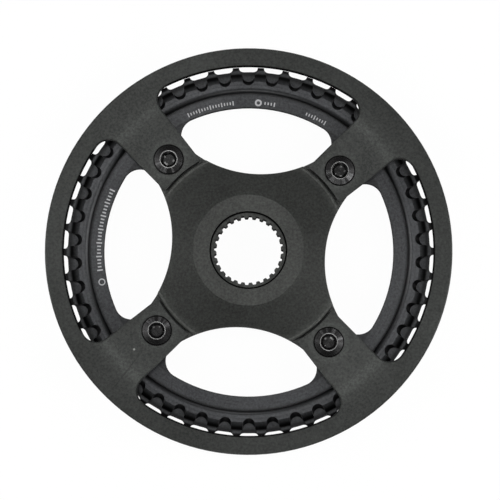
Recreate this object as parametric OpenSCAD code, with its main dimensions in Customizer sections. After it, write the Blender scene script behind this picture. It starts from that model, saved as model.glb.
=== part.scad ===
// Belt drive sprocket for a mid-motor bicycle: a splined four-arm spider that carries
// a toothed belt ring and a pressed sheet guard on four chainring bolts.
// The part lies on the rear face of its teeth with the guard side up.
// Origin: on the axis, at the rear face of the teeth. Units: millimetres.

/* [Belt sprocket] */
// Number of belt teeth
tooth_count = 46; // [45:1:48]
// Pitch of the belt, measured on the pitch circle
belt_pitch = 11; // [10.9:0.05:11.4]
// Width of the toothed crown along the axis
crown_w = 10.6; // [9.6:0.1:11.6]
// Depth of the tooth tips below the pitch circle
tip_drop = 0.85; // [0.5:0.05:1.2]
// Radial depth of the thick crown, from the tooth tips to its inner shoulder
crown_depth = 11.2; // [10.6:0.1:12]
// Radius of the rounded inner shoulder of the crown
shoulder_round = 2.2; // [1:0.1:2.6]
// Thickness of the centre flange
flange_t = 1.6; // [1.2:0.1:2.4]
// Depth of the centre flange's edge below the tooth tips
flange_drop = 1.7; // [1.4:0.1:2.8]
// Depth of the tooth gaps below the tooth tips
gap_depth = 6; // [5.4:0.1:6.4]
// Width of the round bottom of a tooth gap
gap_w = 5.1; // [4.6:0.1:5.4]
// Flare of the tooth gap's sides, in degrees
gap_flare = 25; // [22:1:28]
// Depth below the tooth tips at which the gap's sides turn steeper
knee_drop = 1.2; // [0.8:0.1:1.8]
// Flare of the gap's sides between there and the tooth tips, in degrees
tip_flare = 12; // [6:1:18]
// Width of the sloped pocket at each end of a gap
pocket_w = 5.5; // [5:0.1:5.8]
// Extra depth of the sloped pocket where it meets the crown's face
pocket_fall = 2.1; // [1:0.1:2.4]
// Radial width of the flat crown face, from the shoulder to the bevel
face_w = 4.8; // [4.2:0.1:5.2]
// Radial width of the bevel on the tooth ends
bevel_w = 3.4; // [2.8:0.1:3.8]
// Height lost over the bevel on the tooth ends
bevel_fall = 1.9; // [1.4:0.1:2.2]
// Radial width of the narrow land outside the bevel
land_w = 1.3; // [0.8:0.1:1.6]
// Height lost between the narrow land and the tooth tips
tip_fall = 0.9; // [0.3:0.1:1.1]

/* [Sprocket band and tabs] */
// Radial width of the thin band inside the crown
band_w = 6.2; // [5.5:0.1:7.5]
// Thickness of the band and its mounting tabs
tab_t = 3.5; // [3:0.1:4.2]
// Distance of the tabs' rear face behind the middle of the crown
tab_inset = 0.5; // [0.2:0.1:1.2]
// Width of a mounting tab
tab_w = 18.6; // [17.6:0.2:19.4]
// Fillet between a tab and the band
tab_fillet = 7.5; // [5.5:0.5:8.5]

/* [Spider] */
// Diameter of the bolt circle
bolt_circle = 104; // [103:0.5:105]
// Thickness of the arms
arm_t = 3.5; // [3:0.1:4.2]
// Smallest radius of the spider between two arms
waist_r = 32.8; // [31.5:0.1:34]
// Radius of the round scoops between the arms
scoop_r = 47.9; // [46.6:0.1:49]
// Height of the raised body's edge above the arms
body_rise = 2.2; // [1.6:0.1:2.6]
// Width of the flat strip along the raised body's edge
strip_w = 1.5; // [0.8:0.1:2.5]
// Rounding of the raised body's edge
body_round = 0.8; // [0.3:0.1:1.2]
// Radius of the flat face of the boss
boss_r = 23.7; // [22.5:0.1:25]
// Height of the boss face above the raised body's edge
boss_rise = 3; // [2:0.1:4]
// Radius of the hub behind the arms
hub_r = 21; // [19:0.5:24]
// Depth of the hub behind the arms
hub_drop = 2.8; // [1.5:0.1:4.5]
// Diameter of the counterbore in the boss face
seat_d = 33.3; // [32.4:0.1:34.4]
// Depth of the counterbore
seat_depth = 1.5; // [0.8:0.1:2]
// Width of the relief groove around the counterbore's floor
groove_w = 0.55; // [0.4:0.05:0.8]
// Depth of the relief groove below the counterbore's floor
groove_depth = 0.8; // [0.4:0.1:1.2]

/* [Spline] */
// Number of splines
spline_count = 28; // [24:1:30]
// Diameter over the tips of the splines
spline_d = 27.8; // [26.8:0.1:28.4]
// Depth of the spline grooves
spline_depth = 0.95; // [0.7:0.05:1.2]
// Width of a spline groove at its mouth
spline_mouth = 1.9; // [1.5:0.05:2]
// Width of a spline groove at its floor
spline_floor = 1.2; // [0.9:0.05:1.4]
// Turn of the spline against the arms, in degrees
spline_turn = 1; // [0:0.5:6]

/* [Guard ring] */
// Thickness of the guard's sheet
guard_t = 2; // [1.6:0.1:2.6]
// Reach of the guard beyond the tooth tips
guard_reach = 7.4; // [6:0.1:9]
// Radial width of the guard's rim
guard_rim_w = 8.05; // [7.2:0.05:9]
// Height of the rim above the bolted tabs
guard_lift = 1.2; // [0.8:0.1:2]
// Distance from a bolt to the line where its tab starts to bend up
bend_start = 7.5; // [6.8:0.1:9]
// Distance from the end of the bend to the rim's inner edge
bend_end = 7; // [5:0.1:9]
// Half the radial length of the soft upper bend
bend_soft = 1.6; // [0.5:0.1:2.5]
// Width of a guard tab at the bolt circle
guard_tab_w = 21.2; // [20.6:0.1:22.4]
// Widening of a guard tab's side, per millimetre of length
guard_taper = 0.06; // [0.03:0.01:0.09]
// Distance from a bolt to the inner end of its guard tab
tab_reach = 8.2; // [7.6:0.1:9]
// Gap between the guard tabs and the spider's raised body
tab_gap = 0.8; // [0.5:0.1:1.2]
// Rounding of a guard tab's inner corners
tab_corner = 1.3; // [0.6:0.1:2]
// Fillet between a guard tab and the rim
rim_fillet = 6.5; // [4.5:0.5:8]
// Chamfer of the rim's outer edge
rim_chamfer = 0.4; // [0.2:0.1:0.6]

/* [Chainring bolts] */
// Outer diameter of the nut's sleeve
sleeve_d = 10; // [9.4:0.1:10.6]
// Clearance of the sleeve in its holes, on the radius
sleeve_clear = 0.05; // [0.03:0.01:0.1]
// Diameter of the bolt's shank
shank_d = 7.9; // [7.4:0.1:8.2]
// Clearance of the shank in the sleeve, on the radius
shank_clear = 0.05; // [0.03:0.01:0.1]
// Length of the bolt's shank below its head
shank_len = 8; // [6.5:0.1:8.6]
// Distance of the sleeve's end below the bolt head
sleeve_short = 0.5; // [0.3:0.1:1]
// Diameter of the bolt head
head_d = 12.6; // [12:0.1:13.4]
// Height of the head's straight edge
head_edge = 0.7; // [0.3:0.1:1]
// Height of the head's cone above its straight edge
head_cone = 0.7; // [0.4:0.1:1.2]
// Outer diameter of the lip around the socket
lip_d = 7.7; // [7.3:0.1:8.2]
// Inner diameter of the lip around the socket
lip_in_d = 6.9; // [6.4:0.1:7.1]
// Depth of the cone that leads into the socket
lead_depth = 0.9; // [0.5:0.1:1.2]
// Width across the flats of the hexagon socket
socket_af = 5; // [4.5:0.1:5.2]
// Depth of the hexagon socket below the head's top
socket_depth = 3; // [2.4:0.1:3.6]
// Diameter of the nut's head
nut_head_d = 13; // [12:0.1:14]
// Thickness of the nut's head
nut_head_t = 1.4; // [1:0.1:1.8]
// Width of the slot across the nut's head
slot_w = 2.2; // [1.6:0.1:2.6]
// Depth of the slot across the nut's head
slot_depth = 0.8; // [0.4:0.1:0.9]

/* [Hidden] */
$fn = 96;
eps = 0.01;
// Overlap of a round corner with the edges it joins, so that they cross and don't just touch
bite = 0.02;
// Reach of a cutter beyond the piece it cuts, and of a shape into the one it joins
reach = 1;
arm_count = 4;
arm_step = 360 / arm_count;
arm_start = arm_step / 2;

// The bolt circle places the ends of the guard's tabs, and those the spider's raised body
bolt_r = bolt_circle / 2;
tab_end_r = bolt_r - tab_reach;
body_r = tab_end_r - tab_gap;

// Radii of the belt sprocket
pitch_r = tooth_count * belt_pitch / (2 * PI);
tooth_step = 360 / tooth_count;
tip_r = pitch_r - tip_drop;
flange_r = tip_r - flange_drop;
gap_root_r = tip_r - gap_depth;
crown_r = tip_r - crown_depth;
band_r = crown_r - band_w;
face_r = crown_r + face_w;
land_in_r = face_r + bevel_w;
land_out_r = land_in_r + land_w;
past_tip = 2 * reach;

// Heights, from the rear face of the teeth upwards
crown_mid = crown_w / 2;
tab_z = crown_mid - tab_inset;
arm_z = tab_z + tab_t;
pad_z = arm_z + arm_t;
head_z = pad_z + guard_t;
strip_z = pad_z + body_rise;
boss_z = strip_z + boss_rise;
seat_z = boss_z - seat_depth;
hub_z = arm_z - hub_drop;

// Sloped pockets: their lean follows from the fall between the crown's face and the flange
pocket_h = crown_mid - flange_t / 2;
pocket_lean = atan(pocket_fall / pocket_h);

// Scoops between the arms
scoop_centre_r = waist_r + scoop_r;
scoop_side = scoop_centre_r * sin(arm_start);
arm_half_w = scoop_side - sqrt(scoop_r * scoop_r - pow(scoop_side - bolt_r, 2));

// Guard
guard_r = tip_r + guard_reach;
window_r = guard_r - guard_rim_w;
bend_in_r = bolt_r + bend_start;
bend_out_r = window_r - bend_end;
taper_angle = atan(guard_taper);
taper_start = guard_tab_w / 2 - bolt_r * guard_taper;
bend_steps = 6;

// Seat and spline
seat_r = seat_d / 2;
spline_r = spline_d / 2;
sleeve_hole_r = sleeve_d / 2 + sleeve_clear;

// Half width of a guard tab at the distance x from the axis
function guard_half_w(x) = taper_start + x * guard_taper;

// Distance along the arm at which the line half + slope * x is at the radius r
function line_at_r(half, slope, r) =
    (sqrt(r * r * (1 + slope * slope) - half * half) - half * slope) / (1 + slope * slope);

// Height of the guard sheet at the radius r, above its bolted tabs: flat, sloped, then
// a parabola that ends level with the rim
guard_grade = guard_lift / (bend_out_r - bend_in_r);
function guard_height(r) =
    r <= bend_in_r ? 0
    : r <= bend_out_r - bend_soft ? (r - bend_in_r) * guard_grade
    : r <= bend_out_r + bend_soft
        ? guard_lift - guard_grade * pow(bend_out_r + bend_soft - r, 2) / (4 * bend_soft)
    : guard_lift;

// Copies a shape to every arm
module at_arms() {
    for (k = [0 : arm_count - 1])
        rotate([0, 0, arm_start + k * arm_step])
            children();
}

// Puts a shape at one bolt
module at_bolt(k) {
    rotate([0, 0, arm_start + (k - 1) * arm_step])
        translate([bolt_r, 0, 0])
            children();
}

// Fillets on both sides of an arm where its sides, half + slope * x, meet the circle r.
// Each is a kite from the fillet's centre to the corner, less the fillet's circle, and
// its outer edges lie a little inside the arm and the rim.
module arm_fillets(half, slope, r, fillet) {
    sunk = 0.5;
    lean = atan(slope);
    inset = fillet - bite;
    centre_side = half + inset * sqrt(1 + slope * slope);
    centre_x = line_at_r(centre_side, slope, r - inset);
    centre = [centre_x, centre_side + centre_x * slope];
    corner_x = line_at_r(half - sunk, slope, r + 2 * sunk);
    corner = [corner_x, half - sunk + corner_x * slope];
    for (m = [0, 1])
        mirror([0, m, 0])
            difference() {
                polygon([centre, centre + (fillet + sunk) * [sin(lean), -cos(lean)], corner,
                         centre + (fillet + sunk) * centre / norm(centre)]);
                translate(centre)
                    circle(r = fillet);
            }
}

// Outline of one tooth gap, with its round root at the origin and its mouth along +X
module gap_outline() {
    root = gap_w / 2;
    side_x = root - root * sin(gap_flare);
    side_y = root * cos(gap_flare);
    knee_x = gap_depth - knee_drop;
    knee_y = side_y + (knee_x - side_x) * tan(gap_flare);
    mouth_x = gap_depth + past_tip;
    mouth_y = knee_y + (mouth_x - knee_x) * tan(tip_flare);
    translate([root, 0])
        circle(r = root);
    polygon([[side_x, -side_y], [knee_x, -knee_y], [mouth_x, -mouth_y],
             [mouth_x, mouth_y], [knee_x, knee_y], [side_x, side_y]]);
}

// Outline of the pocket at the end of a gap, placed as the gap's
module pocket_outline() {
    root = pocket_w / 2;
    translate([root, 0])
        circle(r = root);
    translate([root, -root])
        square([gap_depth + past_tip - root, pocket_w]);
}

// Section through the upper half of the crown, from its middle upwards
module crown_section() {
    land_h = crown_mid - bevel_fall;
    polygon([[crown_r, -eps], [crown_r, crown_mid - shoulder_round],
             [crown_r + shoulder_round, crown_mid], [face_r, crown_mid], [land_in_r, land_h],
             [land_out_r, land_h], [tip_r, land_h - tip_fall], [tip_r, -eps]]);
    translate([crown_r + shoulder_round, crown_mid - shoulder_round])
        circle(r = shoulder_round);
}

// Upper half of the toothed crown: straight gaps for the belt's teeth, and a pocket at
// the end of each gap whose floor slopes down to the flange
module crown_half() {
    difference() {
        rotate_extrude()
            crown_section();
        for (k = [0 : tooth_count - 1])
            rotate([0, 0, k * tooth_step]) {
                translate([gap_root_r, 0, -reach])
                    linear_extrude(height = crown_mid + 2 * reach)
                        gap_outline();
                translate([gap_root_r, 0, flange_t / 2])
                    rotate([0, -pocket_lean, 0])
                        translate([0, 0, -crown_mid])
                            linear_extrude(height = pocket_h + 2 * crown_mid)
                                pocket_outline();
            }
    }
}

// Outline of the thin band with its four mounting tabs
module band_outline() {
    difference() {
        circle(r = crown_r + reach);
        circle(r = band_r);
    }
    at_arms() {
        translate([bolt_r, 0])
            circle(r = tab_w / 2);
        translate([bolt_r, -tab_w / 2])
            square([crown_r - bolt_r, tab_w]);
        arm_fillets(tab_w / 2, 0, band_r, tab_fillet);
    }
}

module belt_sprocket() {
    color([0.23, 0.235, 0.25])
        union() {
            translate([0, 0, crown_mid]) {
                crown_half();
                mirror([0, 0, 1])
                    crown_half();
                translate([0, 0, -flange_t / 2])
                    linear_extrude(height = flange_t)
                        difference() {
                            circle(r = flange_r);
                            circle(r = crown_r + reach);
                        }
            }
            translate([0, 0, tab_z])
                linear_extrude(height = tab_t)
                    difference() {
                        band_outline();
                        at_arms()
                            translate([bolt_r, 0])
                                circle(r = sleeve_hole_r);
                    }
        }
}

// Section through the hub and the raised body
module body_section() {
    polygon([[0, hub_z], [hub_r, hub_z], [hub_r, arm_z], [body_r, arm_z],
             [body_r, strip_z - body_round], [body_r - body_round, strip_z],
             [body_r - strip_w, strip_z], [boss_r, boss_z], [0, boss_z]]);
    translate([body_r - body_round, strip_z - body_round])
        circle(r = body_round);
}

// Hub, raised body and arms, with the scoops cut out between the arms
module spider_blank() {
    difference() {
        union() {
            rotate_extrude()
                body_section();
            translate([0, 0, arm_z])
                linear_extrude(height = arm_t) {
                    circle(r = bolt_r);
                    at_arms()
                        translate([bolt_r, 0])
                            circle(r = arm_half_w);
                }
        }
        for (k = [0 : arm_count - 1])
            rotate([0, 0, k * arm_step])
                translate([scoop_centre_r, 0, 0])
                    cylinder(r = scoop_r, h = boss_z + reach);
    }
}

// Splined bore with a counterbore and a relief groove around its floor
module spline_cutter() {
    rotate([0, 0, spline_turn])
        translate([0, 0, hub_z - reach])
            linear_extrude(height = boss_z - hub_z + 2 * reach) {
                circle(r = spline_r);
                for (k = [0 : spline_count - 1])
                    rotate([0, 0, k * 360 / spline_count])
                        polygon([[spline_r - reach, -spline_mouth / 2], [spline_r, -spline_mouth / 2],
                                 [spline_r + spline_depth, -spline_floor / 2],
                                 [spline_r + spline_depth, spline_floor / 2],
                                 [spline_r, spline_mouth / 2], [spline_r - reach, spline_mouth / 2]]);
            }
    translate([0, 0, seat_z])
        cylinder(r = seat_r, h = seat_depth + reach);
    translate([0, 0, seat_z - groove_depth])
        difference() {
            cylinder(r = seat_r, h = groove_depth + eps);
            translate([0, 0, -eps])
                cylinder(r = seat_r - groove_w, h = groove_depth + 3 * eps);
        }
}

module spider() {
    color([0.26, 0.265, 0.255])
        difference() {
            spider_blank();
            spline_cutter();
            at_arms()
                translate([bolt_r, 0, arm_z - reach])
                    cylinder(r = sleeve_hole_r, h = arm_t + 2 * reach);
        }
}

// Outline of one guard tab along +X, with round inner corners
module guard_tab_outline() {
    inset = tab_corner - bite;
    centre_side = taper_start - inset * sqrt(1 + guard_taper * guard_taper);
    centre_x = line_at_r(centre_side, guard_taper, tab_end_r + inset);
    centre = [centre_x, centre_side + centre_x * guard_taper];
    to_side = 2 * tab_corner * [-sin(taper_angle), cos(taper_angle)];
    to_end = -2 * tab_corner * centre / norm(centre);
    start_x = centre_x - 2 * tab_corner;
    end_x = window_r + reach;
    difference() {
        polygon([[start_x, -guard_half_w(start_x)], [end_x, -guard_half_w(end_x)],
                 [end_x, guard_half_w(end_x)], [start_x, guard_half_w(start_x)]]);
        circle(r = tab_end_r);
        for (m = [0, 1])
            mirror([0, m, 0])
                difference() {
                    polygon([centre, centre + to_side, centre + to_side + to_end, centre + to_end]);
                    translate(centre)
                        circle(r = tab_corner);
                }
    }
}

// Outline of the guard: its rim with the four tabs
module guard_outline() {
    difference() {
        circle(r = guard_r);
        circle(r = window_r);
    }
    at_arms() {
        guard_tab_outline();
        arm_fillets(taper_start, guard_taper, window_r, rim_fillet);
    }
}

// Section through the guard's sheet, from under the tabs to the rim
module guard_section() {
    bend_radii = [for (k = [0 : bend_steps]) bend_out_r + bend_soft * (2 * k / bend_steps - 1)];
    lower = concat([[body_r, 0], [bend_in_r, 0]],
                   [for (r = bend_radii) [r, guard_height(r)]],
                   [[guard_r, guard_lift]]);
    rim_top = guard_lift + guard_t;
    upper = concat([[guard_r, rim_top - rim_chamfer], [guard_r - rim_chamfer, rim_top]],
                   [for (k = [bend_steps : -1 : 0]) [bend_radii[k], guard_height(bend_radii[k]) + guard_t]],
                   [[bend_in_r, guard_t], [body_r, guard_t]]);
    polygon(concat(lower, upper));
}

module guard_ring() {
    color([0.27, 0.275, 0.265])
        translate([0, 0, pad_z])
            difference() {
                intersection() {
                    rotate_extrude()
                        guard_section();
                    translate([0, 0, -reach])
                        linear_extrude(height = guard_lift + guard_t + 2 * reach)
                            guard_outline();
                }
                at_arms()
                    translate([bolt_r, 0, -reach])
                        cylinder(r = sleeve_hole_r, h = guard_t + 2 * reach);
            }
}

// Bolt with a coned head and a hexagon socket, standing on the guard
module chainring_bolt(k) {
    head_h = head_edge + head_cone;
    color([0.09, 0.09, 0.09])
        at_bolt(k)
            translate([0, 0, head_z])
                difference() {
                    union() {
                        rotate_extrude()
                            polygon([[0, 0], [head_d / 2, 0], [head_d / 2, head_edge],
                                     [lip_d / 2, head_h], [0, head_h]]);
                        translate([0, 0, -shank_len])
                            cylinder(r = shank_d / 2, h = shank_len + eps);
                    }
                    translate([0, 0, head_h - lead_depth])
                        cylinder(r1 = socket_af / 2, r2 = lip_in_d / 2, h = lead_depth);
                    translate([0, 0, head_h - socket_depth])
                        cylinder(r = socket_af / sqrt(3), h = socket_depth + reach, $fn = 6);
                }
}

// Sleeve nut with a slotted head, behind the sprocket's tabs
module chainring_nut(k) {
    sleeve_len = head_z - sleeve_short - tab_z;
    color([0.09, 0.09, 0.09])
        at_bolt(k)
            translate([0, 0, tab_z])
                difference() {
                    union() {
                        translate([0, 0, -nut_head_t])
                            cylinder(r = nut_head_d / 2, h = nut_head_t);
                        translate([0, 0, -eps])
                            cylinder(r = sleeve_d / 2, h = sleeve_len + eps);
                    }
                    translate([0, 0, -nut_head_t - reach])
                        cylinder(r = shank_d / 2 + shank_clear, h = nut_head_t + sleeve_len + 2 * reach);
                    translate([-nut_head_d, -slot_w / 2, -nut_head_t - reach])
                        cube([2 * nut_head_d, slot_w, slot_depth + reach]);
                }
}

spider();
belt_sprocket();
guard_ring();
chainring_bolt(1);  // chainring_bolt_1
chainring_bolt(2);  // chainring_bolt_2
chainring_bolt(3);  // chainring_bolt_3
chainring_bolt(4);  // chainring_bolt_4
chainring_nut(1);  // chainring_nut_1
chainring_nut(2);  // chainring_nut_2
chainring_nut(3);  // chainring_nut_3
chainring_nut(4);  // chainring_nut_4
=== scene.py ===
import math
import bpy
from mathutils import Matrix, Vector


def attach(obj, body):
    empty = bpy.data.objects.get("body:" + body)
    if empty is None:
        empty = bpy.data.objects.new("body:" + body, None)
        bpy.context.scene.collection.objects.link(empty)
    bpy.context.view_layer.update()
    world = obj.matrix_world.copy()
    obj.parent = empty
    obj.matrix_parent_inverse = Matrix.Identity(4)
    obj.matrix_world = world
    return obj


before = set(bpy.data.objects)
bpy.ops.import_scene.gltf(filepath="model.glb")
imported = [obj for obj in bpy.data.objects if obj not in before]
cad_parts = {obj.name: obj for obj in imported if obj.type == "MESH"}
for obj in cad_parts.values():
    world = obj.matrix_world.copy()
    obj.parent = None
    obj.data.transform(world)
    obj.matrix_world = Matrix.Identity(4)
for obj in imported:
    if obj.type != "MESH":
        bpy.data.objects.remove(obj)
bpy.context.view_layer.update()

scene = bpy.context.scene
mm = 0.001
boltCentre = 36.77 * mm        # distance of a bolt's axis from the X and Y axes
print("frame loaded:", len(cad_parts), "CAD nodes")


# camera: fitted to the circles of the photographed part
cameraLook = {
    "place": (16.69 * mm, -67.18 * mm, 991.0 * mm),
    "aim": (0.41 * mm, 1.20 * mm, 0.0),     # the point on the floor in the middle of the picture
    "roll": -3.83,                          # degrees; the part lies turned a little clockwise
    "lens": 165.0, "sensor": 36.0,
    "clip": (0.05, 60.0),                   # metres
}


def makeCamera(look):
    data = bpy.data.cameras.new("camera")
    data.lens = look["lens"]
    data.sensor_width = look["sensor"]
    data.clip_start, data.clip_end = look["clip"]
    camera = bpy.data.objects.new("camera", data)
    scene.collection.objects.link(camera)
    roll = math.radians(look["roll"])
    back = (Vector(look["place"]) - Vector(look["aim"])).normalized()
    right = Vector((math.sin(roll), math.cos(roll), 0)).cross(back).normalized()
    up = back.cross(right)
    turn = Matrix((right, up, back)).transposed().to_4x4()
    camera.matrix_world = Matrix.Translation(look["place"]) @ turn
    scene.camera = camera


makeCamera(cameraLook)
scene.view_settings.view_transform = "Standard"
print("camera placed")


# node helpers
def put(tree, kind, sockets=None, **settings):     # one node, its settings, and what goes into its sockets
    node = tree.nodes.new(kind)
    for key, value in settings.items():
        setattr(node, key, value)
    for key, value in (sockets or {}).items():
        if isinstance(value, bpy.types.NodeSocket):
            tree.links.new(value, node.inputs[key])
        else:
            node.inputs[key].default_value = value
    return node


def calc(tree, operation, *values, clamp=False):
    return put(tree, "ShaderNodeMath", dict(enumerate(values)), operation=operation, use_clamp=clamp).outputs[0]


def times(tree, first, *others):     # the product of two or more values
    for value in others:
        first = calc(tree, "MULTIPLY", first, value)
    return first


def most(tree, first, *others):     # the largest of two or more values
    for value in others:
        first = calc(tree, "MAXIMUM", first, value)
    return first


def rest(tree, value):     # what is left of 1
    return calc(tree, "SUBTRACT", 1.0, value)


def vectorCalc(tree, operation, *vectors, output="Vector"):
    return put(tree, "ShaderNodeVectorMath", dict(enumerate(vectors)), operation=operation).outputs[output]


def split(tree, vector):
    return put(tree, "ShaderNodeSeparateXYZ", {0: vector}).outputs


def join(tree, x=0.0, y=0.0, z=0.0):
    return put(tree, "ShaderNodeCombineXYZ", {"X": x, "Y": y, "Z": z}).outputs[0]


def remap(tree, value, fromLow, fromHigh, toLow=0.0, toHigh=1.0, smooth=False):
    sockets = {"Value": value, "From Min": fromLow, "From Max": fromHigh, "To Min": toLow, "To Max": toHigh}
    kind = "SMOOTHSTEP" if smooth else "LINEAR"
    return put(tree, "ShaderNodeMapRange", sockets, interpolation_type=kind, clamp=True).outputs["Result"]


def stops(*pairs):     # the stops of a curve, with their places given in millimetres
    return [(place * mm, level) for place, level in pairs]


def profile(tree, value, curve):     # a curve through its (place, level) stops, as one colour ramp
    low, high = curve[0][0], curve[-1][0]
    ramp = put(tree, "ShaderNodeValToRGB", {0: remap(tree, value, low, high)})
    marks = ramp.color_ramp.elements
    for place, _ in curve[1:-1]:
        marks.new((place - low) / (high - low))
    for mark, (_, level) in zip(sorted(marks, key=lambda one: one.position), curve):
        mark.color = (level, level, level, 1.0)
    return ramp.outputs[0]


def noise(tree, scale, detail, **sockets):     # over a Vector, or along one value W
    sockets.update(Scale=scale, Detail=detail)
    kind = "1D" if "W" in sockets else "3D"
    return put(tree, "ShaderNodeTexNoise", sockets, noise_dimensions=kind).outputs[0]


def blendColours(tree, amount, first, second, mode="MIX"):
    sockets = {0: amount, 6: first, 7: second}
    return put(tree, "ShaderNodeMix", sockets, data_type="RGBA", blend_type=mode).outputs[2]


def opaque(colour):
    return tuple(colour) + (1.0,)


def placeOf(tree):     # where a point lies, in the part's own axes
    return put(tree, "ShaderNodeTexCoord").outputs["Object"]


def uprightOf(tree):     # 1 on faces that look straight up or down, 0 on walls
    normal = put(tree, "ShaderNodeNewGeometry").outputs["Normal"]
    return calc(tree, "ABSOLUTE", split(tree, normal)["Z"])


def startGroup(name, inputs, outputs, kind="ShaderNodeTree"):
    tree = bpy.data.node_groups.new(name, kind)
    for label, (socketKind, start) in inputs.items():
        socket = tree.interface.new_socket(name=label, in_out="INPUT", socket_type=socketKind)
        if start is not None:
            socket.default_value = start
    for label, socketKind in outputs.items():
        tree.interface.new_socket(name=label, in_out="OUTPUT", socket_type=socketKind)
    return tree, tree.nodes.new("NodeGroupInput").outputs, tree.nodes.new("NodeGroupOutput").inputs


def useGroup(tree, group, sockets=None):
    return put(tree, "ShaderNodeGroup", sockets, node_tree=group).outputs


floatIn = "NodeSocketFloat"
vectorIn = "NodeSocketVector"
countIn = "NodeSocketInt"
shapeIn = "NodeSocketGeometry"


# shared surface effects
grainMix = {
    "shares": (0.35, 0.40, 0.25),     # of grain, mottle and clouds in the tone
    "details": (2.0, 1.0, 3.0), "roughness": 0.55, "range": (0.32, 0.68),
}


def makeBlastGrain(mix):     # bead-blasted skin: fine grain, a mottle of about a millimetre, and broad soft clouds
    tree, given, out = startGroup(
        "blastGrain",
        {"Grain": (floatIn, 3000.0), "Mottle": (floatIn, 900.0), "Clouds": (floatIn, 60.0),
         "Depth": (floatIn, 0.004 * mm)},
        {"Tone": floatIn, "Height": floatIn})
    place = placeOf(tree)
    grain, mottle, clouds = (
        remap(tree, noise(tree, given[name], detail, Vector=place, Roughness=mix["roughness"]), *mix["range"])
        for name, detail in zip(("Grain", "Mottle", "Clouds"), mix["details"]))
    first, second, third = (times(tree, one, share) for one, share in zip((grain, mottle, clouds), mix["shares"]))
    tree.links.new(calc(tree, "ADD", calc(tree, "ADD", first, second), third), out["Tone"])
    tree.links.new(times(tree, grain, given["Depth"]), out["Height"])
    return tree


turnedMix = {"lines": (0.3, 0.7), "faces": (0.6, 0.9), "patches": (0.3, 0.6, 0.4, 1.0), "patchScale": 40.0}


def makeTurnedLines(mix):     # lathe lines round the part's axis, on the faces that look up or down
    tree, given, out = startGroup(
        "turnedLines",
        {"Pitch": (floatIn, 0.35 * mm), "Depth": (floatIn, 0.004 * mm)},
        {"Tone": floatIn, "Height": floatIn})
    place = placeOf(tree)
    radius = vectorCalc(tree, "LENGTH", vectorCalc(tree, "MULTIPLY", place, (1.0, 1.0, 0.0)), output="Value")
    along = calc(tree, "DIVIDE", radius, given["Pitch"])
    lines = remap(tree, noise(tree, 1.0, 1.0, W=along), *mix["lines"])
    patches = remap(tree, noise(tree, mix["patchScale"], 1.0, Vector=place), *mix["patches"])
    cut = times(tree, lines, remap(tree, uprightOf(tree), *mix["faces"]), patches)
    tree.links.new(cut, out["Tone"])
    tree.links.new(times(tree, cut, given["Depth"]), out["Height"])
    return tree


roundedEdgeMix = {"samples": 6, "breaks": (0.35, 0.6, 0.35, 1.0)}


# its mask says where rounded corners get a painted highlight, and where the guard's edges get painted shade
def makeRoundedEdges(mix):     # softened corners, and a broken mask of where they are
    tree, given, out = startGroup(
        "edgeWear",
        {"Radius": (floatIn, 0.3 * mm), "Breaks": (floatIn, 400.0),
         "Start": (floatIn, 0.995), "Full": (floatIn, 0.85)},
        {"Mask": floatIn, "Normal": vectorIn})
    rounded = put(tree, "ShaderNodeBevel", {"Radius": given["Radius"]}, samples=mix["samples"]).outputs[0]
    normal = put(tree, "ShaderNodeNewGeometry").outputs["Normal"]
    facing = vectorCalc(tree, "DOT_PRODUCT", rounded, normal, output="Value")
    corner = remap(tree, facing, given["Start"], given["Full"])
    broken = remap(tree, noise(tree, given["Breaks"], 2.0, Vector=placeOf(tree)), *mix["breaks"])
    tree.links.new(times(tree, corner, broken), out["Mask"])
    tree.links.new(rounded, out["Normal"])
    return tree


def makeDustSpecks():     # a few pale specks of dust
    tree, given, out = startGroup(
        "dustSpecks",
        {"Cells": (floatIn, 90.0), "Share": (floatIn, 0.06), "Size": (floatIn, 0.035)},
        {"Mask": floatIn})
    cells = put(tree, "ShaderNodeTexVoronoi", {"Vector": placeOf(tree), "Scale": given["Cells"]})
    near = calc(tree, "LESS_THAN", cells.outputs["Distance"], given["Size"])
    chance = put(tree, "ShaderNodeSeparateColor", {0: cells.outputs["Color"]}).outputs[0]
    tree.links.new(times(tree, near, calc(tree, "LESS_THAN", chance, given["Share"])), out["Mask"])
    return tree


creviceMix = {"samples": 10}


# painted shade: ambient occlusion finds deep narrow places, and this mask has them painted black
def makeCreviceShade(mix):     # deep narrow places, which stay black
    tree, given, out = startGroup(
        "creviceShade",
        {"Reach": (floatIn, 2.0 * mm), "Open": (floatIn, 0.7), "Shut": (floatIn, 0.35)},
        {"Mask": floatIn})
    around = put(tree, "ShaderNodeAmbientOcclusion", {"Distance": given["Reach"]}, samples=mix["samples"])
    tree.links.new(remap(tree, around.outputs["AO"], given["Open"], given["Shut"], smooth=True), out["Mask"])
    return tree


def fromBolt(tree, centre):     # the place, the way to it from the nearest bolt's axis, and the way round that axis
    place = split(tree, placeOf(tree))
    x, y = (
        calc(tree, "SUBTRACT", place[name], times(tree, calc(tree, "SIGN", place[name]), centre)) for name in "XY")
    return place, join(tree, x, y), vectorCalc(tree, "NORMALIZE", join(tree, times(tree, y, -1.0), x))


def makeBoltPlace():     # radius, height and direction at the nearest bolt, and a vector of its own for each bolt
    tree, given, out = startGroup(
        "boltPlace",
        {"Centre": (floatIn, boltCentre), "Step X": (floatIn, 3.7), "Step Y": (floatIn, 6.1)},
        {"Radius": floatIn, "Height": floatIn, "Around": vectorIn, "Which": vectorIn})
    place, outward, around = fromBolt(tree, given["Centre"])
    which = join(tree, *(times(tree, calc(tree, "SIGN", place[name]), given["Step " + name]) for name in "XY"))
    tree.links.new(vectorCalc(tree, "LENGTH", outward, output="Value"), out["Radius"])
    tree.links.new(place["Z"], out["Height"])
    tree.links.new(around, out["Around"])
    tree.links.new(which, out["Which"])
    return tree


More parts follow.
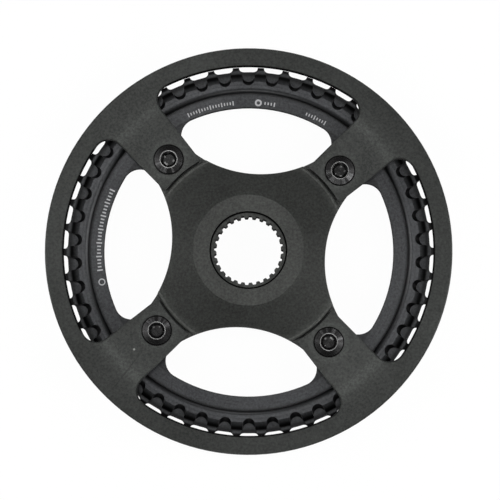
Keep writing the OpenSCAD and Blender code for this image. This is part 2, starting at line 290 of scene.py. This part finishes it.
def makeRadius():     # distance from the part's axis, height, and a value from 1 along the arms to 0 between them
    tree, _, out = startGroup("radius", {}, {"Radius": floatIn, "Height": floatIn, "Arm": floatIn})
    place = placeOf(tree)
    flat = vectorCalc(tree, "MULTIPLY", place, (1.0, 1.0, 0.0))
    toward = split(tree, vectorCalc(tree, "NORMALIZE", flat))
    tree.links.new(vectorCalc(tree, "LENGTH", flat, output="Value"), out["Radius"])
    tree.links.new(split(tree, place)["Z"], out["Height"])
    tree.links.new(calc(tree, "ABSOLUTE", times(tree, toward["X"], toward["Y"], 2.0)), out["Arm"])
    return tree


blastGrain = makeBlastGrain(grainMix)
turnedLines = makeTurnedLines(turnedMix)
edgeWear = makeRoundedEdges(roundedEdgeMix)
dustSpecks = makeDustSpecks()
creviceShade = makeCreviceShade(creviceMix)
boltPlace = makeBoltPlace()
radiusOf = makeRadius()
print("surface effects ready")


def startMaterial(name):
    material = bpy.data.materials.new(name)
    material.use_nodes = True
    tree = material.node_tree
    tree.nodes.clear()
    shader = put(tree, "ShaderNodeBsdfPrincipled")
    output = put(tree, "ShaderNodeOutputMaterial", {"Surface": shader.outputs[0]})
    return material, tree, shader, output


def darkMetal(name, look):     # black anodised or blackened metal, blasted or turned
    material, tree, shader, _ = startMaterial(name)
    grain = useGroup(tree, blastGrain, {
        "Grain": look["grain"], "Mottle": look["mottle"], "Clouds": look["clouds"], "Depth": look["grainDepth"]})
    paleEdge = useGroup(tree, edgeWear, {"Radius": look["edgeRadius"], "Breaks": look["edgeBreaks"]})
    specks = useGroup(tree, dustSpecks, {"Cells": look["speckCells"], "Share": look["speckShare"]})
    deep = useGroup(tree, creviceShade, {"Reach": look["deepReach"], "Open": look["deepOpen"], "Shut": look["deepShut"]})
    colour = blendColours(tree, grain["Tone"], opaque(look["dark"]), opaque(look["light"]))
    height = grain["Height"]
    if look.get("turned"):
        lines = useGroup(tree, turnedLines, {"Pitch": look["turned"], "Depth": look["turnedDepth"]})
        colour = blendColours(tree, times(tree, lines["Tone"], look["turnedTint"]), colour, opaque(look["paleEdge"]))
        height = calc(tree, "ADD", height, lines["Height"])
    # painted highlight: rounded corners are painted paler
    colour = blendColours(tree, times(tree, paleEdge["Mask"], look["edgeHighlight"]), colour, opaque(look["paleEdge"]))

    # painted shade: slopes and walls are painted darker; each piece's own shade function says where shade is painted
    # black and where highlights are painted paler
    upright = uprightOf(tree)
    slope = remap(tree, upright, look["slopeFrom"], look["slopeTo"], smooth=True)
    wall = remap(tree, upright, look["wallFrom"], look["wallTo"])
    notWall = rest(tree, wall)
    slope, shade, lift = look["shade"](tree, look, useGroup(tree, radiusOf), slope, upright)
    colour = blendColours(tree, slope, colour, opaque(look["slope"]))
    # painted highlight: the zones that the shade function lifts are painted paler
    colour = blendColours(tree, lift, colour, opaque((look["lift"],) * 3), mode="MULTIPLY")
    colour = blendColours(tree, wall, colour, opaque(look["wall"]))
    metallic = times(tree, remap(tree, slope, 0.0, 1.0, look["metallic"], look["slopeMetallic"]), notWall)
    if look.get("extra"):
        colour, height, metallic = look["extra"](tree, shader, look, colour, height, metallic)
    colour = blendColours(tree, times(tree, specks["Mask"], look["dustTint"]), colour, opaque(look["dust"]))
    # painted shade: crevices and each piece's shade marks are painted near black
    paintedShade = most(tree, times(tree, deep["Mask"], look["deepTint"]), shade)
    colour = blendColours(tree, paintedShade, colour, opaque(look["nearBlack"]))
    metallic = most(tree, metallic, times(tree, paintedShade, notWall))     # black metal shines least

    bump = put(tree, "ShaderNodeBump", {
        "Strength": 1.0, "Distance": 1.0, "Height": height, "Normal": paleEdge["Normal"]})
    tree.links.new(colour, shader.inputs["Base Color"])
    tree.links.new(remap(tree, grain["Tone"], 0.0, 1.0, *look["rough"]), shader.inputs["Roughness"])
    tree.links.new(metallic, shader.inputs["Metallic"])
    tree.links.new(remap(tree, wall, 0.0, 1.0, look["specular"], 0.0), shader.inputs["Specular IOR Level"])
    tree.links.new(bump.outputs[0], shader.inputs["Normal"])
    return material


def dress(node, material):     # a CAD node keeps its mesh and gets a finish
    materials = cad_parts[node].data.materials
    materials.clear()
    materials.append(material)


# spider: blasted and black anodised; the groove round the seat is painted black as shade, the boss and strips
# painted paler as highlight
def spiderShade(tree, look, place, slope, upright):
    radius, height = place["Radius"], place["Height"]
    # painted shade in the groove round the seat
    groove = times(tree, profile(tree, radius, look["groove"]), remap(tree, height, *look["grooveHeight"]))
    # painted highlight on the strips and the boss face
    strip = times(
        tree, remap(tree, radius, *look["stripStart"]), remap(tree, height, *look["stripBottom"]),
        remap(tree, height, *look["stripTop"]))
    return slope, groove, most(tree, strip, remap(tree, height, *look["bossHeight"], *look["bossLift"]))


spiderLook = {
    "dark": (0.012, 0.0126, 0.0117), "light": (0.052, 0.0544, 0.0507), "paleEdge": (0.11, 0.11, 0.105),
    "dust": (0.35, 0.35, 0.34), "dustTint": 0.8, "nearBlack": (0.0015, 0.0015, 0.0015),
    "grain": 2600.0, "mottle": 950.0, "clouds": 45.0, "grainDepth": 0.006 * mm,
    "rough": (0.38, 0.30), "metallic": 0.6, "specular": 0.5,
    "edgeRadius": 0.30 * mm, "edgeBreaks": 300.0, "edgeHighlight": 0.15,
    "slopeFrom": 0.75, "slopeTo": 0.35, "slope": (0.010, 0.010, 0.010), "slopeMetallic": 0.8,
    "wallFrom": 0.25, "wallTo": 0.08, "wall": (0.032, 0.032, 0.032),
    "deepReach": 2.0 * mm, "deepOpen": 0.44, "deepShut": 0.24, "deepTint": 0.97,
    "speckCells": 80.0, "speckShare": 0.02,
    "shade": spiderShade, "lift": 1.45,
    "groove": stops((15.75, 0), (16.1, 0.9), (16.6, 1), (16.8, 0.9), (17.0, 0)),
    "grooveHeight": (16.2 * mm, 16.0 * mm),
    "stripStart": (38 * mm, 40.5 * mm), "stripBottom": (13.7 * mm, 13.9 * mm), "stripTop": (14.6 * mm, 14.1 * mm),
    "bossHeight": (16.7 * mm, 16.9 * mm), "bossLift": (0.12, 0.33),
}
dress("spider", darkMetal("blastedSpider", spiderLook))


# guard ring: blasted sheet, with painted shade on the window edges, a painted highlight on the bends,
# a painted shadow line round each bolt head, and a faint darker fold line and a pale fleck on its lower left tab
def foldLine(tree, shader, look, colour, height, metallic):
    place = placeOf(tree)
    start, end = look["foldStart"], look["foldEnd"]
    length, along = (end - start).length, (end - start).normalized()
    away = vectorCalc(tree, "SUBTRACT", place, tuple(start))
    run = vectorCalc(tree, "DOT_PRODUCT", away, tuple(along), output="Value")
    side = vectorCalc(tree, "DOT_PRODUCT", away, (-along.y, along.x, 0.0), output="Value")
    near = remap(tree, calc(tree, "ABSOLUTE", side), look["foldWidth"], 0.0, smooth=True)
    offMiddle = calc(tree, "ABSOLUTE", calc(tree, "SUBTRACT", run, length / 2))
    line = times(tree, near, remap(tree, offMiddle, length / 2, length / 3))
    colour = blendColours(tree, times(tree, line, look["foldTint"]), colour, opaque(look["nearBlack"]))
    gap = vectorCalc(tree, "DISTANCE", place, tuple(look["fleck"]), output="Value")
    fleck = remap(tree, gap, look["fleckSize"], look["fleckSize"] / 2, 0.0, look["fleckTint"])
    colour = blendColours(tree, fleck, colour, opaque(look["dust"]))
    return colour, calc(tree, "SUBTRACT", height, times(tree, line, look["foldDepth"])), metallic


def onArm(angle, along, side, z):     # a point given along and beside an arm, in millimetres
    a = math.radians(angle)
    return Vector((along * math.cos(a) - side * math.sin(a), along * math.sin(a) + side * math.cos(a), z)) * mm


def guardShade(tree, look, place, slope, upright):
    radius = place["Radius"]
    fromHead = useGroup(tree, boltPlace)["Radius"]
    corner = useGroup(tree, edgeWear, {
        "Radius": look["edgeLine"], "Breaks": look["edgeBreaks"],
        "Start": look["edgeStart"], "Full": look["edgeFull"]})
    # painted shade along the guard's edges
    edge = calc(tree, "MULTIPLY", corner["Mask"], look["edgeGain"], clamp=True)
    edge = times(tree, edge, profile(tree, radius, look["edgeZone"]))
    # painted shade: a dark line along each window's edge
    window = times(tree, profile(tree, radius, look["windowLine"]), remap(tree, place["Arm"], *look["windowEnds"]))
    # painted highlight on the bends, and a paler ring round each bolt seat
    paleBendsAndSeats = most(tree, profile(tree, radius, look["bend"]), profile(tree, fromHead, look["seatRing"]))
    # painted shadow: a black line round each bolt head
    return slope, most(tree, edge, window, profile(tree, fromHead, look["headLine"])), paleBendsAndSeats


guardLook = dict(spiderLook, **{
    "dark": (0.0105, 0.0114, 0.0105), "light": (0.0466, 0.0493, 0.0466),
    "clouds": 30.0, "speckShare": 0.05, "edgeHighlight": 0.0,
    "shade": guardShade, "lift": 1.65,
    "edgeLine": 1.5 * mm, "edgeStart": 0.99, "edgeFull": 0.93, "edgeGain": 2.0,
    "edgeZone": stops((60, 0), (68, 0.8), (82, 0.95), (83, 0), (86.3, 0), (86.6, 0.3), (87, 0.4)),
    "windowLine": stops((78.9, 1), (79.5, 0.95), (79.85, 0)), "windowEnds": (0.885, 0.855),
    "bend": stops(
        (52, 0), (58, 0.15), (66, 0.15), (69, 0.35), (72, 0.95), (73.5, 0.9), (75, 0.45), (78, 0.12), (81, 0)),
    "seatRing": stops((6.4, 0.7), (7.6, 0.7), (9.5, 0.1), (12, 0)),
    "headLine": stops((6.2, 1), (6.5, 0.9), (6.7, 0)),
    "extra": foldLine, "foldStart": onArm(225, 62, 2.5, 14.2), "foldEnd": onArm(225, 84, 6.8, 15.0),
    "foldWidth": 0.5 * mm, "foldTint": 0.35, "foldDepth": 0.01 * mm,
    "fleck": onArm(225, 64.5, -0.3, 14.2), "fleckSize": 0.6 * mm, "fleckTint": 0.6,
})
dress("guard_ring", darkMetal("blastedGuard", guardLook))


# belt sprocket: turned and milled ring, a little bluer than the spider; its slopes are painted deep black as shade,
# with painted shade on a soft black shoulder, tooth ends that fade to black and a shaded flange, and painted
# highlight on the crown
def sprocketShade(tree, look, place, slope, upright):
    radius = place["Radius"]
    high = remap(tree, place["Height"], *look["overFlange"])
    gentle = most(tree, remap(tree, upright, *look["gentle"]), calc(tree, "LESS_THAN", radius, look["shoulderEnd"]))
    drawn = times(tree, high, gentle)
    # painted shade on the shoulder and the tooth ends
    top = times(tree, profile(tree, radius, look["topShade"]), drawn)
    # painted shade on the flange
    flange = times(tree, profile(tree, radius, look["flangeShade"]), rest(tree, high))
    # painted highlight on the crown
    lift = times(tree, profile(tree, radius, look["crownLift"]), drawn)
    return times(tree, slope, rest(tree, drawn)), most(tree, top, flange), lift


sprocketLook = dict(spiderLook, **{
    "dark": (0.0127, 0.0132, 0.0145), "light": (0.0592, 0.0615, 0.066),
    "grainDepth": 0.003 * mm, "rough": (0.37, 0.30),
    "turned": 0.45 * mm, "turnedDepth": 0.004 * mm, "turnedTint": 0.12, "speckShare": 0.01,
    "edgeRadius": 0.15 * mm, "edgeHighlight": 0.0, "deepReach": 1.4 * mm, "deepOpen": 0.50, "deepShut": 0.30,
    "slopeFrom": 0.985, "slopeTo": 0.90, "slope": (0.007, 0.007, 0.0075), "slopeMetallic": 0.95,
    "shade": sprocketShade, "lift": 1.3,
    "overFlange": (7.3 * mm, 7.5 * mm), "gentle": (0.72, 0.80), "shoulderEnd": 71 * mm,
    "topShade": stops(
        (62.2, 0.45), (62.7, 0.15), (63.2, 0), (66.8, 0), (67.6, 0.14), (68.1, 0.6), (68.6, 0.82), (69.0, 0.80),
        (69.4, 0.78), (69.7, 0.55), (70.0, 0.22), (70.5, 0), (73.3, 0), (73.85, 0.14), (74.4, 0.48), (74.9, 0.76),
        (75.3, 0.9), (75.7, 0.97), (76.2, 1), (76.6, 0.9), (77.1, 0.55), (77.6, 0), (78.0, 0.2), (78.4, 0.92),
        (79.7, 1)),
    "flangeShade": stops((74.8, 0), (75.3, 0.03), (75.8, 0.30), (76.3, 0.52), (76.8, 0.73), (77.3, 0.7), (78, 0.6)),
    "crownLift": stops(
        (66, 0), (67, 0.3), (68, 0), (70.4, 0.2), (71.0, 1), (71.6, 0.7), (71.85, 0.2), (72.1, 0), (72.4, 0.9),
        (73.2, 1), (74, 0)),
})
sprocketMetal = darkMetal("turnedSprocket", sprocketLook)
dress("belt_sprocket", sprocketMetal)


# chainring bolts and nuts: turned steel, blackened, with a bright lip round the socket, painted highlights on the
# cone and in the socket, and painted shade round the head and in the socket's mouth
def brightLip(tree, shader, look, colour, height, metallic):
    place = useGroup(tree, boltPlace)
    radius, around = place["Radius"], place["Around"]
    inner, outer = look["lip"]
    soft = look["lipSoft"]
    lip = times(
        tree, remap(tree, radius, inner - soft, inner + soft), remap(tree, radius, outer + soft, outer - soft),
        remap(tree, place["Height"], *look["lipHeight"]))
    along = calc(tree, "DIVIDE", radius, look["ringPitch"])
    rings = remap(tree, noise(tree, 1.0, 2.0, W=along), *look["ringRange"])

    # painted highlight: streaks of sheen on the cone, on the side that faces the middle of the part, and glints in
    # the socket
    direction = vectorCalc(tree, "ADD", around, place["Which"])
    spokes = remap(tree, noise(tree, look["spokes"], 1.0, Vector=direction), *look["spokeRange"])
    inward = times(tree, calc(tree, "SIGN", split(tree, placeOf(tree))["Y"]), split(tree, around)["X"])
    side = remap(tree, inward, *look["sheenSide"], smooth=True)
    sheen = times(tree, spokes, side, remap(tree, radius, outer, outer + 2 * soft))
    glints = remap(tree, noise(tree, look["glints"], 0.0, Vector=direction), *look["glintRange"])
    layers = (
        (sheen, "sheen"),
        (times(tree, rings, look["ringTint"]), "nearBlack"),
        # painted shade: black rings at the head's edge and in the socket's mouth
        (remap(tree, radius, *look["rim"]), "nearBlack"),
        (profile(tree, radius, look["mouth"]), "nearBlack"),
        (times(tree, glints, profile(tree, radius, look["glintZone"])), "steelAndGlint"),
        (lip, "steelAndGlint"))
    for amount, tone in layers:
        colour = blendColours(tree, amount, colour, opaque(look[tone]))
    shader.inputs["Anisotropic"].default_value = look["brushed"]
    tree.links.new(fromBolt(tree, boltCentre)[2], shader.inputs["Tangent"])
    metallic = remap(tree, lip, 0.0, 1.0, look["metallic"], 1.0)
    return colour, calc(tree, "ADD", height, times(tree, rings, look["ringDepth"])), metallic


def boltShade(tree, look, place, slope, upright):     # a black line round the head
    # painted shadow: a black line where the head meets the guard
    return slope, profile(tree, useGroup(tree, boltPlace)["Radius"], look["outline"]), 0.0


boltLook = dict(spiderLook, **{
    "dark": (0.016, 0.016, 0.016), "light": (0.026, 0.026, 0.026), "paleEdge": (0.05, 0.05, 0.05),
    "slope": (0.004, 0.004, 0.004), "wall": (0.01, 0.01, 0.01),
    "steelAndGlint": (0.21, 0.21, 0.207), "sheen": (0.15, 0.15, 0.152),
    "grain": 5000.0, "mottle": 2000.0, "grainDepth": 0.0005 * mm, "rough": (0.30, 0.24),
    "metallic": 0.8, "brushed": 0.8, "edgeRadius": 0.12 * mm, "edgeHighlight": 0.2, "speckShare": 0.0,
    "deepReach": 1.6 * mm, "deepOpen": 0.62, "deepShut": 0.35,
    "shade": boltShade, "outline": stops((6.0, 0), (6.15, 1), (6.5, 1)),
    "extra": brightLip, "lip": (3.50 * mm, 3.82 * mm), "lipSoft": 0.05 * mm, "lipHeight": (14.95 * mm, 15.1 * mm),
    "ringPitch": 0.25 * mm, "ringRange": (0.35, 0.65), "ringTint": 0.35, "ringDepth": 0.002 * mm,
    "spokes": 2.5, "spokeRange": (0.46, 0.60, 0.10, 1.0), "sheenSide": (-0.3, 0.7, 0.05, 1.0),
    "rim": (6.0 * mm, 6.15 * mm), "mouth": stops((2.1, 0), (2.45, 0.6), (2.7, 1), (3.35, 1), (3.5, 0)),
    "glints": 1.5, "glintRange": (0.56, 0.66), "glintZone": stops((1.6, 0), (1.9, 0.9), (2.3, 0.9), (2.6, 0)),
})
boltMetal = darkMetal("blackBolt", boltLook)
for number in (1, 2, 3, 4):
    dress(f"chainring_bolt_{number}", boltMetal)
    dress(f"chainring_nut_{number}", boltMetal)
print("CAD nodes dressed")


# what the fillets and the marks share
def addPiece(piece):     # the part has one body
    scene.collection.objects.link(piece)
    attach(piece, "root")


def grown(name, tree, values, base=None):     # a piece from a node tree, its inputs' values and a mesh to start from
    holder = bpy.data.objects.new(name + "Holder", base or bpy.data.meshes.new(name + "Holder"))
    scene.collection.objects.link(holder)
    modifier = holder.modifiers.new("nodes", "NODES")
    modifier.node_group = tree
    for item in tree.interface.items_tree:
        if item.in_out == "INPUT" and item.name in values:
            modifier[item.identifier] = values[item.name]
    bpy.context.view_layer.update()
    shape = holder.evaluated_get(bpy.context.evaluated_depsgraph_get())
    piece = bpy.data.objects.new(name, bpy.data.meshes.new_from_object(shape))
    bpy.data.objects.remove(holder)
    addPiece(piece)


def instances(tree, points, shape, material, **sockets):     # real copies of a shape on points, in one material
    sockets.update(Points=points, Instance=shape)
    copies = put(tree, "GeometryNodeInstanceOnPoints", sockets).outputs[0]
    real = put(tree, "GeometryNodeRealizeInstances", {0: copies}).outputs[0]
    return put(tree, "GeometryNodeSetMaterial", {"Geometry": real, "Material": material}).outputs[0]


# small fillets between the teeth and the edge of the flange
filletLook = {
    "teeth": 46, "steps": 6,
    "corner": (77.90 * mm, 3.59 * mm),     # where a tooth's side meets the flange's edge, with a gap along +X
    "reach": 1.6 * mm, "bite": 0.2 * mm,
    "sideTurn": 19.0,                      # lean of the tooth's side, in degrees
    "edgeTurn": 0.045,                     # lean of the flange's edge, as a slope
    "bottom": 4.52 * mm, "top": 6.08 * mm,
}


def makeFilletPair(look):     # one gap's two fillets, with the gap along +X
    corner = Vector(look["corner"])
    lean = math.radians(look["sideTurn"])
    first = corner + look["reach"] * Vector((look["edgeTurn"], -1.0)).normalized()
    last = corner + look["reach"] * Vector((math.cos(lean), math.sin(lean)))
    curve = []
    for k in range(look["steps"] + 1):
        u = k / look["steps"]
        curve.append((1 - u) ** 2 * first + 2 * u * (1 - u) * corner + u ** 2 * last)
    inside = corner + look["bite"] * Vector((-1.0, 1.0))
    points, faces = [], []
    for side in (1, -1):
        start = len(points)
        outline = [inside] + (curve if side == 1 else list(reversed(curve)))
        for z in (look["bottom"], look["top"]):
            points += [(one.x, side * one.y, z) for one in outline]
        count = len(outline)
        for k in range(count):
            after = (k + 1) % count
            faces.append((start + k, start + after, start + count + after, start + count + k))
        for k in range(1, count - 1):
            faces.append((start + count, start + count + k, start + count + k + 1))
            faces.append((start, start + k + 1, start + k))
    mesh = bpy.data.meshes.new("filletPair")
    mesh.from_pydata(points, [], faces)
    return mesh


def makeRoundTree(material):     # copies of a shape round the part's axis
    tree, given, out = startGroup(
        "roundCopies", {"Geometry": (shapeIn, None), "Copies": (countIn, 46)}, {"Geometry": shapeIn},
        kind="GeometryNodeTree")
    index = put(tree, "GeometryNodeInputIndex").outputs[0]
    angle = calc(tree, "DIVIDE", times(tree, index, 2 * math.pi), given["Copies"])
    points = put(tree, "GeometryNodePoints", {"Count": given["Copies"]}).outputs[0]
    done = instances(tree, points, given["Geometry"], material, Rotation=join(tree, z=angle))
    tree.links.new(done, out["Geometry"])
    return tree


grown("toothFillets", makeRoundTree(sprocketMetal), {"Copies": filletLook["teeth"]}, makeFilletPair(filletLook))
print("fillets made")


# plain light marks on the band: rows of ticks, and two rings
markLook = {
    "radius": 64.4 * mm, "height": 8.32 * mm,
    "tone": (0.42, 0.42, 0.43), "faded": 0.7, "rough": 0.6, "grain": 2500.0, "mottle": 1200.0, "clouds": 200.0,
    "every": 4.0, "short": 0.65,     # one tick in so many is full length, the others are this share of it
    "rows": (                        # name, first and last angle, number of ticks, tick length, tick width
        ("ticksRight", 63.2, 71.0, 8, 1.9 * mm, 0.50 * mm),
        ("ticksTop", 83.9, 87.5, 4, 1.8 * mm, 0.55 * mm),
        ("ticksLeft", 99.8, 117.6, 17, 1.9 * mm, 0.50 * mm),
        ("ticksSide", 159.6, 191.0, 25, 2.4 * mm, 0.58 * mm),
    ),
    "rings": (                       # name, angle, inner and outer radius
        ("ringTop", 90.1, 0.75 * mm, 1.50 * mm),
        ("ringSide", 195.6, 1.05 * mm, 1.50 * mm),
    ),
    "ringSides": 40,
}


def makeMarkInk(look):
    material, tree, shader, _ = startMaterial("markInk")
    grain = useGroup(tree, blastGrain, {"Grain": look["grain"], "Mottle": look["mottle"], "Clouds": look["clouds"]})
    faded = [look["faded"] * part for part in look["tone"]]
    tone = blendColours(tree, grain["Tone"], opaque(faded), opaque(look["tone"]))
    tree.links.new(tone, shader.inputs["Base Color"])
    shader.inputs["Roughness"].default_value = look["rough"]
    return material


def makeTickTree(ink):     # a row of flat ticks on an arc round the part's axis
    tree, given, out = startGroup(
        "tickRow",
        {"Geometry": (shapeIn, None), "Radius": (floatIn, 64.4 * mm), "Height": (floatIn, 8.3 * mm),
         "First": (floatIn, 0.0), "Last": (floatIn, 0.5), "Ticks": (countIn, 8), "Length": (floatIn, 1.4 * mm),
         "Width": (floatIn, 0.4 * mm), "Every": (floatIn, 4.0), "Short": (floatIn, 0.65)},
        {"Geometry": shapeIn}, kind="GeometryNodeTree")
    index = put(tree, "GeometryNodeInputIndex").outputs[0]
    share = calc(tree, "DIVIDE", index, calc(tree, "SUBTRACT", given["Ticks"], 1.0))
    sweep = calc(tree, "SUBTRACT", given["Last"], given["First"])
    angle = calc(tree, "ADD", given["First"], times(tree, share, sweep))
    x, y = (times(tree, given["Radius"], calc(tree, operation, angle)) for operation in ("COSINE", "SINE"))
    place = join(tree, x, y, given["Height"])
    points = put(tree, "GeometryNodePoints", {"Count": given["Ticks"], "Position": place}).outputs[0]
    tick = put(tree, "GeometryNodeMeshGrid", {
        "Size X": given["Length"], "Size Y": given["Width"], "Vertices X": 2, "Vertices Y": 2}).outputs[0]
    full = calc(tree, "LESS_THAN", calc(tree, "MODULO", index, given["Every"]), 0.5)
    stretch = calc(tree, "ADD", given["Short"], times(tree, full, rest(tree, given["Short"])))
    size = join(tree, stretch, 1.0, 1.0)
    tree.links.new(instances(tree, points, tick, ink, Rotation=join(tree, z=angle), Scale=size), out["Geometry"])
    return tree


def makeRingMark(name, angle, inner, outer, look, ink):
    a = math.radians(angle)
    centre = look["radius"] * Vector((math.cos(a), math.sin(a), 0))
    count = look["ringSides"]
    points = []
    for r in (inner, outer):
        for k in range(count):
            t = 2 * math.pi * k / count
            points.append((centre.x + r * math.cos(t), centre.y + r * math.sin(t), look["height"]))
    faces = [(k, count + k, count + (k + 1) % count, (k + 1) % count) for k in range(count)]
    mesh = bpy.data.meshes.new(name)
    mesh.from_pydata(points, [], faces)
    mesh.materials.append(ink)
    addPiece(bpy.data.objects.new(name, mesh))


markInk = makeMarkInk(markLook)
tickTree = makeTickTree(markInk)
for name, first, last, ticks, length, width in markLook["rows"]:
    grown(name, tickTree, {
        "Radius": markLook["radius"], "Height": markLook["height"],
        "First": math.radians(first), "Last": math.radians(last),
        "Ticks": ticks, "Length": length, "Width": width, "Every": markLook["every"], "Short": markLook["short"]})
for name, angle, inner, outer in markLook["rings"]:
    makeRingMark(name, angle, inner, outer, markLook, markInk)
print("marks made")


# floor: pale paper that the camera and the reflections see as nearly white, and that is clear from below
floorLook = {"half": 6.0, "drop": 0.1 * mm, "paper": (0.9, 0.9, 0.9), "rough": 0.9, "glow": 0.97}


def makeFloor(look):
    half, z = look["half"], -look["drop"]
    mesh = bpy.data.meshes.new("floor")
    mesh.from_pydata([(-half, -half, z), (half, -half, z), (half, half, z), (-half, half, z)], [], [(0, 1, 2, 3)])
    floor = bpy.data.objects.new("floor", mesh)
    scene.collection.objects.link(floor)
    material, tree, shader, output = startMaterial("floorPaper")
    shader.inputs["Base Color"].default_value = opaque(look["paper"])
    shader.inputs["Roughness"].default_value = look["rough"]
    path = put(tree, "ShaderNodeLightPath").outputs
    seen = most(tree, path["Is Camera Ray"], path["Is Glossy Ray"], path["Is Transmission Ray"])
    glow = put(tree, "ShaderNodeEmission", {"Color": (1, 1, 1, 1), "Strength": 1.0})
    share = times(tree, seen, look["glow"])
    front = put(tree, "ShaderNodeMixShader", {0: share, 1: shader.outputs[0], 2: glow.outputs[0]})
    clear = put(tree, "ShaderNodeBsdfTransparent")
    behind = times(tree, put(tree, "ShaderNodeNewGeometry").outputs["Backfacing"], path["Is Camera Ray"])
    sides = put(tree, "ShaderNodeMixShader", {0: behind, 1: front.outputs[0], 2: clear.outputs[0]})
    tree.links.new(sides.outputs[0], output.inputs["Surface"])
    mesh.materials.append(material)


makeFloor(floorLook)


# world: white near the horizon, darker overhead, as in a small studio
worldLook = {     # stops of the sine of the height above the horizon, and the level there
    "rise": ((0.0, 1.0), (0.05, 0.95), (0.25, 0.6), (0.60, 0.35), (0.85, 0.12), (1.0, 0.12)),
}


def makeWorld(look):
    world = bpy.data.worlds.new("studio")
    world.use_nodes = True
    tree = world.node_tree
    tree.nodes.clear()
    direction = put(tree, "ShaderNodeTexCoord").outputs["Generated"]
    strength = profile(tree, split(tree, direction)["Z"], look["rise"])
    sky = put(tree, "ShaderNodeBackground", {"Color": (1, 1, 1, 1), "Strength": strength})
    put(tree, "ShaderNodeOutputWorld", {"Surface": sky.outputs[0]})
    scene.world = world


makeWorld(worldLook)


# lamps: square and soft, all at one distance
lampLook = {
    "distance": 1.3,
    "lamps": (     # name, direction on the floor, tilt from straight up, side, level
        ("top", 0, 0, 0.26, 2.1),
        ("topRight", 0, 11, 0.20, 2.8),
        ("topBack", 90, 11, 0.20, 1.2),
        ("topLeft", 135, 11, 0.20, 4.9),
        ("upperRight", 0, 42, 0.50, 4.6),
        ("upperLeft", 180, 42, 0.50, 3.8),
        ("right", 0, 66, 0.60, 7.6),
        ("left", 180, 66, 0.60, 5.4),
        ("front", 270, 66, 0.60, 5.6),
        ("back", 90, 66, 0.60, 3.2),
    ),
}


def makeLamp(name, azimuth, tilt, side, level, distance):
    data = bpy.data.lights.new(name, "AREA")
    data.shape = "SQUARE"
    data.size = side
    data.energy = level * math.pi * side * side     # so that the level is what a mirror would show
    lamp = bpy.data.objects.new(name, data)
    scene.collection.objects.link(lamp)
    a, t = math.radians(azimuth), math.radians(tilt)
    place = distance * Vector((math.cos(a) * math.sin(t), math.sin(a) * math.sin(t), math.cos(t)))
    lamp.matrix_world = Matrix.Translation(place) @ place.to_track_quat("Z", "Y").to_matrix().to_4x4()
    lamp.visible_camera = False


for row in lampLook["lamps"]:
    makeLamp(*row, lampLook["distance"])
print("floor, world and lamps made")
